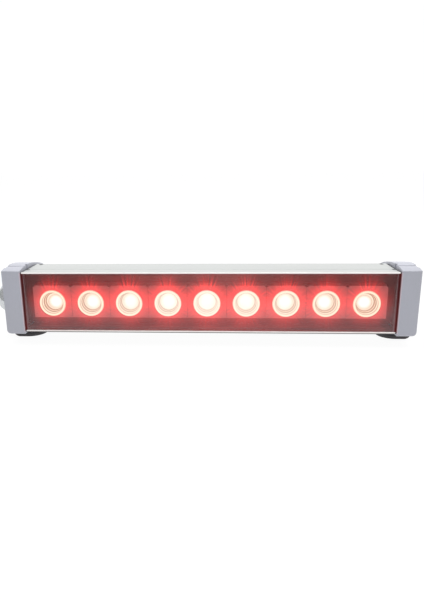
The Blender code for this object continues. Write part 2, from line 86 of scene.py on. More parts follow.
# ------------------------------------------------------------------ node helpers
class Mat:
    """A procedural material, built from a Principled shader outwards."""

    def __init__(self, name):
        self.mat = bpy.data.materials.new(name)
        self.mat.use_nodes = True
        self.nt = self.mat.node_tree
        self.nt.nodes.clear()
        self.out = self.nt.nodes.new("ShaderNodeOutputMaterial")
        self.bsdf = self.nt.nodes.new("ShaderNodeBsdfPrincipled")
        self.nt.links.new(self.bsdf.outputs[0], self.out.inputs["Surface"])
        self._pos = None
        self._xyz = None

    def put(self, socket, value):
        if isinstance(value, bpy.types.NodeSocket):
            self.nt.links.new(value, socket)
        elif isinstance(value, (tuple, list)) and len(value) == 3 and len(socket.default_value) == 4:
            socket.default_value = (*value, 1.0)
        else:
            socket.default_value = value

    def set(self, **values):
        for key, value in values.items():
            self.put(self.bsdf.inputs[key.replace("_", " ")], value)
        return self

    def pos(self):
        if self._pos is None:
            self._pos = self.nt.nodes.new("ShaderNodeTexCoord").outputs["Object"]
        return self._pos

    def xyz(self):
        """Design millimetres, as three sockets."""
        if self._xyz is None:
            n = self.nt.nodes.new("ShaderNodeSeparateXYZ")
            self.put(n.inputs[0], self.pos())
            x = self.m("MULTIPLY_ADD", n.outputs[0], 1000.0, -6.0)
            y = self.m("MULTIPLY_ADD", n.outputs[1], 1000.0, 31.0)
            z = self.m("MULTIPLY_ADD", n.outputs[2], 1000.0, -35.5)
            self._xyz = (x, y, z)
        return self._xyz

    def m(self, op, a, b=None, c=None, clamp=False):
        n = self.nt.nodes.new("ShaderNodeMath")
        n.operation = op
        n.use_clamp = clamp
        for i, v in enumerate((a, b, c)):
            if v is not None:
                self.put(n.inputs[i], v)
        return n.outputs[0]

    def step(self, value, low, high):
        n = self.nt.nodes.new("ShaderNodeMapRange")
        n.interpolation_type = "SMOOTHSTEP"
        self.put(n.inputs["Value"], value)
        n.inputs["From Min"].default_value = low
        n.inputs["From Max"].default_value = high
        return n.outputs[0]

    def remap(self, value, a, b, c, d):
        n = self.nt.nodes.new("ShaderNodeMapRange")
        self.put(n.inputs["Value"], value)
        n.inputs["From Min"].default_value = a
        n.inputs["From Max"].default_value = b
        n.inputs["To Min"].default_value = c
        n.inputs["To Max"].default_value = d
        return n.outputs[0]

    def mix(self, fac, a, b, blend="MIX"):
        n = self.nt.nodes.new("ShaderNodeMix")
        n.data_type = "RGBA"
        n.blend_type = blend
        self.put(n.inputs[0], fac)
        self.put(n.inputs[6], a)
        self.put(n.inputs[7], b)
        return n.outputs[2]

    def scaled(self, x, y, z, source=None):
        n = self.nt.nodes.new("ShaderNodeVectorMath")
        n.operation = "MULTIPLY"
        self.put(n.inputs[0], source or self.pos())
        n.inputs[1].default_value = (x, y, z)
        return n.outputs[0]

    def noise(self, scale, detail=3.0, rough=0.5, vector=None, dims="3D", w=None):
        n = self.nt.nodes.new("ShaderNodeTexNoise")
        n.noise_dimensions = dims
        if dims != "1D":
            self.put(n.inputs["Vector"], vector or self.pos())
        if w is not None:
            self.put(n.inputs["W"], w)
        n.inputs["Scale"].default_value = scale
        n.inputs["Detail"].default_value = detail
        n.inputs["Roughness"].default_value = rough
        return n.outputs["Fac"]

    def ramp(self, fac, stops, interpolation="LINEAR"):
        n = self.nt.nodes.new("ShaderNodeValToRGB")
        n.color_ramp.interpolation = interpolation
        e = n.color_ramp.elements
        while len(e) < len(stops):
            e.new(0.5)
        for i, (p, colour) in enumerate(stops):
            e[i].position = p
            e[i].color = (*colour, 1.0)
        self.put(n.inputs[0], fac)
        return n.outputs[0]

    def bump(self, height, strength, distance):
        n = self.nt.nodes.new("ShaderNodeBump")
        n.inputs["Strength"].default_value = strength
        n.inputs["Distance"].default_value = distance
        self.put(n.inputs["Height"], height)
        old = self.bsdf.inputs["Normal"]
        if old.is_linked:
            self.put(n.inputs["Normal"], old.links[0].from_socket)
        self.put(old, n.outputs[0])
        return self

    def lens_field(self):
        """How far this point is from the nearest lens axis, and the sum of the painted glow of the two nearest lenses.
        """
        x, y, z = self.xyz()
        z = self.m("SUBTRACT", z, LENS_Z)
        cell = self.m("DIVIDE", x, PITCH)
        near = self.m("MINIMUM", self.m("MAXIMUM", self.m("ROUND", cell), -4.0), 4.0)
        dx = self.m("SUBTRACT", x, self.m("MULTIPLY", near, PITCH))
        r1 = self.m("SQRT", self.m("ADD", self.m("MULTIPLY", dx, dx), self.m("MULTIPLY", z, z)))
        other = self.m("ADD", near, self.m("SIGN", dx))
        real = self.m("LESS_THAN", self.m("ABSOLUTE", other), 4.5)
        dx2 = self.m("SUBTRACT", x, self.m("MULTIPLY", other, PITCH))
        r2 = self.m("SQRT", self.m("ADD", self.m("MULTIPLY", dx2, dx2), self.m("MULTIPLY", z, z)))

        def halo(r):
            t = self.m("DIVIDE", self.m("MAXIMUM", self.m("SUBTRACT", r, 8.0), 0.0), 7.7)
            return self.m("EXPONENT", self.m("MULTIPLY", self.m("MULTIPLY", t, t), -1.0))

        glow = self.m("ADD", halo(r1), self.m("MULTIPLY", real, halo(r2)))
        angle = self.m("ARCTAN2", z, dx)
        return r1, glow, angle, near, dx

    def red_room_painted_glow(self):
        """The space round the lens plate: surfaces painted dark and reddish as shade, under a painted dim uneven red
        glow, stronger along the middle and weaker at the ends. Gives base colour, strength and tint.
        """
        x, y, z = self.xyz()
        mottled = self.noise(1.0, 3.0, 0.55, self.scaled(28.0, 40.0, 60.0))
        fine = self.noise(1.0, 3.0, 0.6, self.scaled(420.0, 60.0, 60.0))
        base = self.mix(self.remap(mottled, 0.3, 0.7, 0.0, 1.0), (0.030, 0.012, 0.012), (0.055, 0.022, 0.021))
        wide = self.m("DIVIDE", self.m("SUBTRACT", x, 4.0), 72.0)
        swell = self.m("EXPONENT", self.m("MULTIPLY", self.m("MULTIPLY", wide, wide), -1.0))
        light = self.m("MULTIPLY_ADD", swell, 0.11, 0.105)
        light = self.m("MULTIPLY", light, self.remap(mottled, 0.33, 0.67, 0.72, 1.28))
        light = self.m("MULTIPLY", light, self.remap(fine, 0.3, 0.7, 0.93, 1.07))
        ends = self.m("SUBTRACT", 1.0, self.step(self.m("ABSOLUTE", x), 136.6, 138.2))
        light = self.m("MULTIPLY", light, self.m("MULTIPLY_ADD", ends, 0.38, 0.62))
        tint = self.mix(self.m("MULTIPLY", swell, self.step(z, 2.0, 12.0)), (1.0, 0.05, 0.045), (1.0, 0.20, 0.19))
        return base, light, tint

    def streaks(self, angle, near, amount):
        """Fine painted rays of light round each lens, as a factor about 1."""
        w = self.m("ADD", self.m("MULTIPLY", angle, 3.0), self.m("MULTIPLY", near, 17.3))
        n = self.noise(3.8, 3.0, 0.6, dims="1D", w=w)
        return self.remap(n, 0.3, 0.7, 1.0 - amount, 1.0 + amount)


# ------------------------------------------------------------------ materials
def channel_material():
    """Satin anodised extrusion; inside the optics space painted dark, with a painted red glow."""
    k = Mat("anodised_channel")
    x, y, z = k.xyz()
    lines = k.noise(1.0, 4.0, 0.6, k.scaled(6.0, 900.0, 900.0))
    broad = k.noise(1.0, 3.0, 0.5, k.scaled(9.0, 60.0, 60.0))
    specks = k.noise(2600.0, 2.0, 0.5)
    outer = k.mix(k.remap(lines, 0.3, 0.7, 0.0, 1.0), (0.455, 0.468, 0.458), (0.50, 0.513, 0.503))
    outer = k.mix(k.remap(broad, 0.35, 0.65, 0.0, 0.35), outer, (0.44, 0.453, 0.448))
    # painted highlight: the front faces of the lips are painted lighter
    edge = k.m("LESS_THAN", y, 0.75)
    outer = k.mix(edge, outer, (0.90, 0.905, 0.89))
    # painted shade along the turned-under lower edge, and painted shade in the seams beside the end covers
    ax = k.m("ABSOLUTE", x)
    under_shade = k.m("MULTIPLY", k.m("LESS_THAN", y, 2.0), k.m("SUBTRACT", 1.0, k.step(z, -23.75, -23.35)))
    seam_shade = k.m("GREATER_THAN", ax, 143.55)
    nick = k.m("MULTIPLY", k.m("GREATER_THAN", ax, 141.6), k.m("MULTIPLY", k.m("GREATER_THAN", y, 9.6), k.m("LESS_THAN", y, 13.2)))
    seam_shade = k.m("MULTIPLY", k.m("MAXIMUM", seam_shade, nick), k.m("GREATER_THAN", z, 23.4))
    seam_shade = k.m("MULTIPLY", seam_shade, k.m("GREATER_THAN", y, 3.0))
    outer = k.mix(k.m("MAXIMUM", k.m("MULTIPLY", under_shade, 0.93), k.m("MULTIPLY", seam_shade, 0.9)), outer, (0.05, 0.05, 0.052))
    # the optics space, painted dark with a painted red glow: behind the glass, in front of and including the web
    inside = k.m(
        "MULTIPLY",
        k.m("MULTIPLY", k.step(y, 4.0, 4.6), k.m("LESS_THAN", y, 18.6)),
        k.m("MULTIPLY", k.m("LESS_THAN", z, 23.0), k.m("GREATER_THAN", z, -22.6)),
    )
    inner, light, tint = k.red_room_painted_glow()
    k.set(Base_Color=k.mix(inside, outer, inner))
    k.set(Metallic=k.remap(inside, 0.0, 1.0, 0.5, 0.0), Specular_IOR_Level=k.remap(inside, 0.0, 1.0, 0.5, 0.05))
    k.set(Roughness=k.m("ADD", k.remap(lines, 0.3, 0.7, 0.30, 0.42), k.m("MULTIPLY", specks, 0.04)))
    # the lips beside the glass get a little painted red glow
    lip = k.m("MULTIPLY", k.m("LESS_THAN", y, 4.0), k.m("LESS_THAN", k.m("ABSOLUTE", k.m("SUBTRACT", z, 0.2)), 24.1))
    k.set(Emission_Color=k.mix(inside, (1.0, 0.35, 0.3), tint))
    k.set(Emission_Strength=k.m("ADD", k.m("MULTIPLY", light, inside), k.m("MULTIPLY", lip, 0.05)))
    k.bump(lines, 0.10, 0.00008)
    return k.mat


def cover_material():
    k = Mat("silver_grey_paint")
    flake = k.noise(1800.0, 3.0, 0.6)
    peel = k.noise(420.0, 2.0, 0.5)
    broad = k.noise(28.0, 3.0, 0.5)
    base = k.mix(k.remap(flake, 0.3, 0.7, 0.0, 1.0), (0.388, 0.396, 0.452), (0.446, 0.455, 0.518))
    base = k.mix(k.remap(broad, 0.35, 0.65, 0.0, 0.25), base, (0.40, 0.405, 0.44))
    x, y, z = k.xyz()
    ax, az = k.m("ABSOLUTE", x), k.m("ABSOLUTE", z)
    # the recess behind the end of the pane is painted dark, with the painted red glow of the dim red space
    recess = k.m("MULTIPLY", k.m("LESS_THAN", ax, 156.6), k.m("LESS_THAN", az, 21.6))
    recess = k.m("MULTIPLY", recess, k.m("MULTIPLY", k.m("GREATER_THAN", y, 3.9), k.m("LESS_THAN", y, 24.1)))
    inner, painted_red_glow, tint = k.red_room_painted_glow()
    # its edge beside the pane gets a little painted red glow
    edge = k.m("MULTIPLY", k.m("LESS_THAN", ax, 146.1), k.m("MULTIPLY", k.m("LESS_THAN", y, 2.5), k.m("LESS_THAN", az, 24.0)))
    k.set(Base_Color=k.mix(recess, base, inner), Metallic=0.10, Specular_IOR_Level=k.remap(recess, 0.0, 1.0, 0.5, 0.05), Roughness=k.remap(broad, 0.3, 0.7, 0.34, 0.45))
    k.set(Emission_Color=k.mix(recess, (1.0, 0.42, 0.40), tint))
    k.set(Emission_Strength=k.m("ADD", k.m("MULTIPLY", recess, painted_red_glow), k.m("MULTIPLY", edge, 0.11)))
    k.bump(peel, 0.12, 0.00008)
    k.bump(flake, 0.08, 0.00003)
    return k.mat


def glass_material():
    """Clear pane; its inner face carries the painted bloom of the lenses and, low down, a painted pale glow."""
    k = Mat("clear_front_glass")
    x, y, z = k.xyz()
    veil_noise = k.noise(1.0, 4.0, 0.6, k.scaled(30.0, 30.0, 14.0))
    dust = k.noise(900.0, 2.0, 0.6)
    # the ends of the pane are painted dark and opaque, as painted shade
    x_end = k.step(k.m("ABSOLUTE", x), 142.7, 143.3)
    k.set(Base_Color=k.mix(x_end, (0.985, 0.995, 0.99), (0.040, 0.016, 0.016)), Roughness=k.remap(dust, 0.3, 0.7, 0.0, 0.015))
    k.set(Transmission_Weight=k.m("SUBTRACT", 1.0, x_end))
    k.bsdf.inputs["IOR"].default_value = 1.30
    # the pane is flat, so it refracts by its true faces
    faces = k.nt.nodes.new("ShaderNodeNewGeometry")
    k.nt.links.new(faces.outputs["True Normal"], k.bsdf.inputs["Normal"])
    # painted bloom: a glow round each lens, stronger above, with painted rays
    r1, glow, angle, near, dx = k.lens_field()
    up = k.step(z, -9.0, 7.0)
    middle = k.m("SUBTRACT", 0.93, k.m("MULTIPLY", k.m("DIVIDE", k.m("ABSOLUTE", x), 150.0), 0.27))
    streak = k.streaks(angle, near, 0.48)
    calm = k.m("MULTIPLY_ADD", k.step(r1, 10.0, 17.0), k.m("SUBTRACT", streak, 1.0), 1.0)
    bloom = k.m("MULTIPLY", k.m("MULTIPLY", glow, middle), k.m("MULTIPLY_ADD", up, 0.32, 0.68))
    bloom = k.m("MULTIPLY", k.m("MULTIPLY", bloom, calm), 0.86)
    # a taller painted flame of light stands over each lens
    over = k.m("SUBTRACT", z, LENS_Z)
    side_fall = k.m("DIVIDE", dx, 6.5)
    top_fall = k.m("DIVIDE", k.m("MAXIMUM", k.m("SUBTRACT", over, 11.0), 0.0), 8.5)
    flame = k.m("EXPONENT", k.m("MULTIPLY", k.m("ADD", k.m("MULTIPLY", side_fall, side_fall), k.m("MULTIPLY", top_fall, top_fall)), -1.0))
    flame = k.m("MULTIPLY", k.m("MULTIPLY", flame, k.step(over, 6.0, 12.0)), k.m("SUBTRACT", 1.0, k.m("DIVIDE", k.m("ABSOLUTE", x), 200.0)))
    rays = k.m("MAXIMUM", k.streaks(angle, near, 1.5), 0.0)
    bloom = k.m("MULTIPLY_ADD", k.m("MULTIPLY", flame, rays), 0.38, bloom)
    # at the ends of the row the painted light falls low
    end = k.step(k.m("ABSOLUTE", x), 126.0, 134.0)
    drop = k.m("SUBTRACT", k.m("MULTIPLY", k.m("SUBTRACT", 1.0, k.step(z, -12.0, -3.0)), 0.30), k.m("MULTIPLY", k.step(z, -3.0, 8.0), 0.32))
    bloom = k.m("MULTIPLY", bloom, k.m("MULTIPLY_ADD", end, drop, 1.0))
    outside = k.step(r1, 9.6, 10.8)
    bloom = k.m("MULTIPLY", bloom, outside)
    # a painted pale glow low down on the inner face, uneven
    pale_veil_glow = k.m("SUBTRACT", 1.0, k.step(z, -11.0, 8.0))
    pale_veil_glow = k.m("MULTIPLY", k.m("MULTIPLY", pale_veil_glow, 0.044), k.remap(veil_noise, 0.3, 0.7, 0.88, 1.12))
    pale_veil_glow = k.m("MULTIPLY", pale_veil_glow, k.m("SUBTRACT", 1.0, k.m("MULTIPLY", k.step(k.m("ABSOLUTE", x), 115.0, 142.0), 0.05)))
    pale_veil_glow = k.m("MULTIPLY", pale_veil_glow, outside)
    inner = k.m("GREATER_THAN", y, 3.3)
    total = k.m("ADD", bloom, pale_veil_glow)
    share = k.m("DIVIDE", pale_veil_glow, k.m("MAXIMUM", total, 0.0001), clamp=True)
    k.set(Emission_Color=k.mix(share, (1.0, 0.036, 0.034), (1.0, 0.93, 0.97)))
    k.set(Emission_Strength=k.m("MULTIPLY_ADD", x_end, 0.05, k.m("MULTIPLY", total, inner)))
    clear = k.nt.nodes.new("ShaderNodeBsdfTransparent")
    clear.inputs[0].default_value = (0.95, 0.96, 0.955, 1.0)
    path = k.nt.nodes.new("ShaderNodeLightPath")
    mixed = k.nt.nodes.new("ShaderNodeMixShader")
    k.nt.links.new(path.outputs["Is Shadow Ray"], mixed.inputs[0])
    k.nt.links.new(k.bsdf.outputs[0], mixed.inputs[1])
    k.nt.links.new(clear.outputs[0], mixed.inputs[2])
    # the pane's ends are painted out: a flat dark red painted glow, lighter low down, in place of the glass
    dark = k.nt.nodes.new("ShaderNodeEmission")
    k.put(dark.inputs[0], k.mix(k.step(z, -14.0, 14.0), (0.150, 0.062, 0.066), (0.085, 0.030, 0.034)))
    ended = k.nt.nodes.new("ShaderNodeMixShader")
    k.put(ended.inputs[0], x_end)
    k.nt.links.new(mixed.outputs[0], ended.inputs[1])
    k.nt.links.new(dark.outputs[0], ended.inputs[2])
    k.nt.links.new(ended.outputs[0], k.out.inputs["Surface"])
    return k.mat


def rubber_material():
    k = Mat("black_rubber")
    x, y, z = k.xyz()
    grain = k.noise(1500.0, 3.0, 0.6)
    k.set(Base_Color=k.mix(grain, (0.012, 0.012, 0.012), (0.03, 0.03, 0.031)), Roughness=k.remap(grain, 0.3, 0.7, 0.6, 0.8))
    # where the gasket lies in the red space behind the glass, it gets the painted red glow
    base, painted_red_glow, tint = k.red_room_painted_glow()
    room = k.m("MULTIPLY", k.m("LESS_THAN", y, 18.0), k.m("LESS_THAN", k.m("ABSOLUTE", x), 145.3))
    room = k.m("MULTIPLY", room, k.m("LESS_THAN", k.m("ABSOLUTE", k.m("SUBTRACT", z, 0.2)), 22.95))
    k.set(Emission_Color=tint, Emission_Strength=k.m("MULTIPLY", k.m("MULTIPLY", painted_red_glow, room), 0.9), Specular_IOR_Level=k.remap(room, 0.0, 1.0, 0.5, 0.05))
    k.bump(grain, 0.2, 0.00005)
    return k.mat


def holder_material():
    """Moulded plate with a painted red glow through its cells, fading towards its corners and ends."""
    k = Mat("lens_holder_plastic")
    x, y, z = k.xyz()
    r1, glow, angle, near, dx = k.lens_field()
    grain = k.noise(700.0, 3.0, 0.6)
    cloud = k.noise(70.0, 3.0, 0.6)
    # the face's base colour is painted red as if lit, the other faces painted dark as shade
    k.set(Base_Color=k.mix(k.step(y, 5.02, 5.12), k.mix(cloud, (0.20, 0.042, 0.042), (0.27, 0.062, 0.060)), (0.035, 0.014, 0.014)), Roughness=k.remap(grain, 0.3, 0.7, 0.38, 0.55))
    light = k.m("MULTIPLY", k.m("MULTIPLY", glow, k.streaks(angle, near, 0.06)), k.remap(cloud, 0.3, 0.7, 0.93, 1.07))
    light = k.m("MULTIPLY_ADD", light, 0.09, 0.045)
    # only the face is painted lit; the edges of the plate are painted dark, with the same painted red glow as the space
    # behind them
    face = k.m("SUBTRACT", 1.0, k.step(y, 5.02, 5.12))
    base, painted_red_glow, tint = k.red_room_painted_glow()
    k.set(Emission_Color=k.mix(face, tint, (1.0, 0.095, 0.088)))
    k.set(Emission_Strength=k.m("ADD", k.m("MULTIPLY", light, face), k.m("MULTIPLY", painted_red_glow, k.m("MULTIPLY_ADD", face, -0.35, 1.0))))
    k.bump(grain, 0.12, 0.00005)
    return k.mat


def lens_material():
    """A lit collimator, all painted as glow: warm bright rim, a stepped well in peach and cream bands, and a white
    painted pool of light at its foot.
    """
    k = Mat("lit_collimator")
    x, y, z = k.xyz()
    r1, glow, angle, near, dx = k.lens_field()
    cream = (1.0, 0.84, 0.60)
    rim = k.ramp(
        k.remap(r1, 8.0, 10.6, 0.0, 1.0),
        [(0.0, (0.80, 0.42, 0.32)), (0.20, (0.88, 0.52, 0.40)), (0.34, (1.0, 0.78, 0.57)), (0.52, (1.0, 0.90, 0.69)), (0.74, cream), (0.88, (1.0, 0.46, 0.33)), (1.0, (1.0, 0.22, 0.18))],
    )
    wall = k.ramp(
        k.remap(y, 4.9, 12.9, 0.0, 1.0),
        [
            (0.0, (0.50, 0.22, 0.14)), (0.05, (0.60, 0.28, 0.19)), (0.11, (1.0, 0.80, 0.60)), (0.30, (1.0, 0.78, 0.58)), (0.35, (0.46, 0.21, 0.13)), (0.42, (0.50, 0.23, 0.15)),
            (0.47, (1.0, 0.72, 0.52)), (0.57, (0.98, 0.66, 0.48)), (0.63, (0.44, 0.17, 0.10)), (0.70, (0.48, 0.20, 0.13)), (0.77, (1.0, 0.80, 0.62)), (0.86, (1.0, 0.86, 0.70)), (0.91, (0.84, 0.56, 0.42)), (1.0, (1.0, 0.90, 0.76)),
        ],
    )
    # the painted pool of light lies a little low in its well, and is larger towards the middle of the row
    low_z = k.m("MULTIPLY", k.m("SUBTRACT", z, LENS_Z - 0.9), k.m("MULTIPLY_ADD", k.m("ABSOLUTE", near), 0.05, 0.82))
    spread = k.m("SQRT", k.m("ADD", k.m("MULTIPLY", dx, dx), k.m("MULTIPLY", low_z, low_z)))
    spread = k.m("MULTIPLY", spread, k.m("MULTIPLY_ADD", k.m("ABSOLUTE", near), 0.055, 0.80))
    pool = k.ramp(
        k.remap(spread, 0.0, 6.6, 0.0, 1.0),
        [(0.0, (1.15, 1.15, 1.15)), (0.50, (1.05, 1.05, 1.03)), (0.68, (1.0, 0.94, 0.82)), (0.84, (0.94, 0.74, 0.58)), (0.92, (0.82, 0.52, 0.39)), (1.0, (1.0, 0.76, 0.58))],
    )
    deep = k.step(y, 12.1, 12.3)
    at_rim = k.m("SUBTRACT", 1.0, k.step(y, 4.75, 5.05))
    colour = k.mix(at_rim, wall, rim)
    colour = k.mix(k.m("MULTIPLY", deep, k.m("LESS_THAN", r1, 6.45)), colour, pool)
    # the well is painted a little deeper in tone low down, as painted shade where less of the beam reaches
    turn = k.noise(90.0, 3.0, 0.55)
    low = k.m("MULTIPLY", k.m("SUBTRACT", 1.0, k.step(z, -9.0, 2.0)), k.m("SUBTRACT", 1.0, at_rim))
    colour = k.mix(k.m("MULTIPLY", low, 0.18), colour, (0.86, 0.50, 0.38))
    # the same noise gives the painted glow an uneven tone
    colour = k.mix(k.remap(turn, 0.38, 0.65, 0.0, 0.16), colour, (1.0, 0.70, 0.52))
    # the middle of the row is painted washing out towards cream
    wash = k.m("SUBTRACT", 0.48, k.m("MULTIPLY", k.m("ABSOLUTE", near), 0.12))
    colour = k.mix(wash, colour, (1.05, 0.96, 0.84))
    front = k.m("MAXIMUM", k.m("LESS_THAN", y, 6.2), k.m("LESS_THAN", r1, 8.75))
    k.set(Base_Color=(0.06, 0.05, 0.045), Roughness=k.remap(turn, 0.3, 0.7, 0.05, 0.10))
    k.set(Emission_Color=colour, Emission_Strength=k.m("MULTIPLY_ADD", front, 0.98, 0.02))
    k.bump(turn, 0.05, 0.00005)
    return k.mat


def bracket_material():
    k = Mat("grey_bracket_paint")
    grain = k.noise(1300.0, 3.0, 0.6)
    broad = k.noise(60.0, 3.0, 0.5)
    edge = k.nt.nodes.new("ShaderNodeNewGeometry").outputs["Pointiness"]
    worn = k.m("MULTIPLY", k.step(edge, 0.53, 0.60), k.step(broad, 0.45, 0.6))
    base = k.mix(k.remap(grain, 0.3, 0.7, 0.0, 1.0), (0.022, 0.019, 0.021), (0.036, 0.032, 0.035))
    k.set(Base_Color=k.mix(k.m("MULTIPLY", worn, 0.5), base, (0.20, 0.19, 0.19)), Metallic=0.1)
    k.set(Roughness=k.remap(broad, 0.3, 0.7, 0.36, 0.5))
    k.bump(grain, 0.12, 0.00004)
    return k.mat


def steel_material(name, dark, light, rough=0.3):
    k = Mat(name)
    fine = k.noise(1400.0, 4.0, 0.6)
    broad = k.noise(200.0, 3.0, 0.5)
    k.set(Base_Color=k.mix(broad, dark, light), Metallic=1.0, Roughness=k.remap(fine, 0.3, 0.7, rough - 0.06, rough + 0.08))
    k.bump(fine, 0.12, 0.00003)
    return k.mat


def plastic_material(name, dark, light, rough=0.45, scale=1200.0):
    k = Mat(name)
    grain = k.noise(scale, 3.0, 0.6)
    broad = k.noise(120.0, 3.0, 0.5)
    k.set(Base_Color=k.mix(broad, dark, light), Roughness=k.remap(grain, 0.3, 0.7, rough - 0.06, rough + 0.1))
    k.bump(grain, 0.15, 0.00004)
    return k.mat


def board_material(name, mask, trace, scale, border=None):
    k = Mat(name)
    brick = k.nt.nodes.new("ShaderNodeTexBrick")
    k.put(brick.inputs["Vector"], k.scaled(1.0, 1.0, 1.0))
    brick.inputs["Scale"].default_value = scale
    for s in ("Color1", "Color2"):
        brick.inputs[s].default_value = (*mask, 1.0)
    brick.inputs["Mortar"].default_value = (*trace, 1.0)
    brick.inputs["Mortar Size"].default_value = 0.03
    fine = k.noise(900.0, 3.0, 0.6)
    colour = k.mix(k.remap(fine, 0.3, 0.7, 0.0, 0.2), brick.outputs["Color"], mask)
    if border is not None:
        # painted: the border of the mask is painted dark, with the painted red glow of the space round it
        x, y, z = k.xyz()
        inner, painted_red_glow, tint = k.red_room_painted_glow()
        edge = k.step(k.m("ABSOLUTE", z), border, border + 0.3)
        colour = k.mix(edge, colour, inner)
        k.set(Emission_Color=tint, Emission_Strength=k.m("MULTIPLY", edge, painted_red_glow), Specular_IOR_Level=k.remap(edge, 0.0, 1.0, 0.5, 0.05))
    k.set(Base_Color=colour, Roughness=k.remap(fine, 0.3, 0.7, 0.32, 0.5))
    k.bump(brick.outputs["Fac"], 0.2, 0.00003)
    return k.mat


def emitter_material():
    k = Mat("led_package")
    x, y, z = k.xyz()
    grain = k.noise(2000.0, 2.0, 0.5)
    front = k.m("LESS_THAN", y, 14.3)
    k.set(Base_Color=k.mix(grain, (0.75, 0.7, 0.6), (0.85, 0.8, 0.7)), Roughness=k.remap(grain, 0.3, 0.7, 0.3, 0.45))
    k.set(Emission_Color=(1.0, 0.85, 0.7), Emission_Strength=k.m("MULTIPLY", front, 1.5))
    return k.mat


MATS = {
    "channel": channel_material(),
    "cover": cover_material(),
    "glass": glass_material(),
    "rubber": rubber_material(),
    "holder": holder_material(),
    "lens": lens_material(),
    "board": board_material("led_board_mask", (0.74, 0.73, 0.70), (0.45, 0.40, 0.30), 260.0, 11.0),
    "emitter": emitter_material(),
    "driver_board": board_material("driver_board_mask", (0.02, 0.13, 0.05), (0.10, 0.30, 0.12), 180.0),
    "black_plastic": plastic_material("moulded_black", (0.016, 0.016, 0.017), (0.035, 0.035, 0.036)),
    "steel": steel_material("zinc_steel", (0.50, 0.50, 0.49), (0.68, 0.68, 0.66)),
    "black_steel": steel_material("black_oxide_steel", (0.03, 0.03, 0.03), (0.06, 0.06, 0.06), 0.4),
    "bracket": bracket_material(),
    "plated": steel_material("nickel_plate", (0.54, 0.56, 0.575), (0.66, 0.68, 0.695), 0.24),
    "transformer": plastic_material("transformer_tape", (0.62, 0.48, 0.06), (0.75, 0.62, 0.12), 0.4),
    "wire": plastic_material("wire_insulation", (0.42, 0.02, 0.02), (0.55, 0.04, 0.04), 0.4),
}
SLOT_OF = {s["node"]: s["material_slot"] for s in frame["record"]["subparts"]}
BODY_OF = {n: b for b, nodes in frame["record"]["behaviour"]["bodies"].items() for n in nodes}

for node, obj in frame["nodes"].items():
    mat = MATS[SLOT_OF[node]]
    if not obj.material_slots:
        obj.data.materials.append(mat)
    for s in obj.material_slots:
        s.material = mat


# ------------------------------------------------------------------ mesh helpers
def new_object(name, bm, mat, angle=32.0):
    mesh = bpy.data.meshes.new(name)
    bm.to_mesh(mesh)
    bm.free()
    obj = bpy.data.objects.new(name, mesh)
    bpy.context.scene.collection.objects.link(obj)
    if mat is not None:
        mesh.materials.append(mat)
    mesh.shade_smooth()
    mesh.set_sharp_from_angle(angle=math.radians(angle))
    return obj


def finish_piece(obj, node, *more):
    """obj stands for a CAD node: it rides on the same body, and the node and any more given are hidden."""
    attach(obj, BODY_OF[node])
    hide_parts(node, *more)
    return obj


def applied(obj):
    """The object with its modifiers applied."""
    bpy.context.view_layer.update()
    graph = bpy.context.evaluated_depsgraph_get()
    mesh = bpy.data.meshes.new_from_object(obj.evaluated_get(graph))
    obj.modifiers.clear()
    obj.data = mesh
    return obj


def prism_mesh(name, axis, low, high, outline, holes=()):
    """A flat outline with holes, as thick as from low to high along an axis, in the frame's metres."""
    curve = bpy.data.curves.new(name, "CURVE")
    curve.dimensions = "2D"
    curve.fill_mode = "BOTH"
    curve.extrude = (high - low) * 0.5 * MM
    for loop in (outline, *holes):
        spline = curve.splines.new("POLY")
        spline.points.add(len(loop) - 1)
        for point, (a, b) in zip(spline.points, loop):
            point.co = (a * MM, b * MM, 0.0, 1.0)
        spline.use_cyclic_u = True
    obj = bpy.data.objects.new(name, curve)
    bpy.context.scene.collection.objects.link(obj)
    middle = (low + high) * 0.5
    if axis == "X":
        turn, at = (math.pi / 2, 0.0, math.pi / 2), W(middle, 0, 0)
    elif axis == "Y":
        turn, at = (math.pi / 2, 0.0, 0.0), W(0, middle, 0)
    else:
        turn, at = (0.0, 0.0, 0.0), W(0, 0, middle)
    obj.rotation_euler = turn
    obj.location = at
    bpy.context.view_layer.update()
    graph = bpy.context.evaluated_depsgraph_get()
    mesh = bpy.data.meshes.new_from_object(obj.evaluated_get(graph))
    mesh.transform(obj.matrix_world)
    bpy.data.objects.remove(obj, do_unlink=True)
    bm = bmesh.new()
    bm.from_mesh(mesh)
    bmesh.ops.remove_doubles(bm, verts=bm.verts, dist=0.000002)
    bmesh.ops.recalc_face_normals(bm, faces=bm.faces)
    return bm


def rounded(points, radius, segments=3, sharp=()):
    """A closed outline with its corners rounded, as far as their sides allow."""
    out = []
    n = len(points)
    for i, p in enumerate(points):
        p = Vector(p)
        a, b = Vector(points[i - 1]), Vector(points[(i + 1) % n])
        u, v = a - p, b - p
        la, lb = u.length, v.length
        u.normalize()
        v.normalize()
        bend = math.acos(max(-1.0, min(1.0, u.dot(v))))
        if i in sharp or bend > math.radians(172):
            out.append(tuple(p))
            continue
        r = radius(i) if callable(radius) else radius
        back = min(r / math.tan(bend / 2), 0.45 * la, 0.45 * lb)
        start, end = p + u * back, p + v * back
        for k in range(segments + 1):
            t = k / segments
            q = start * (1 - t) ** 2 + p * 2 * t * (1 - t) + end * t * t
            out.append(tuple(q))
    return out


def arc(cx, cy, radius, first, last, steps):
    return [
        (
            cx + radius * math.cos(math.radians(first + (last - first) * i / steps)),
            cy + radius * math.sin(math.radians(first + (last - first) * i / steps)),
        )
        for i in range(steps + 1)
    ]


def circle(cx, cy, radius, sides):
    return arc(cx, cy, radius, 0.0, 360.0 * (sides - 1) / sides, sides - 1)


AXIS = {"+X": Vector((1, 0, 0)), "-X": Vector((-1, 0, 0)), "+Y": Vector((0, 1, 0)), "-Y": Vector((0, -1, 0)), "+Z": Vector((0, 0, 1))}


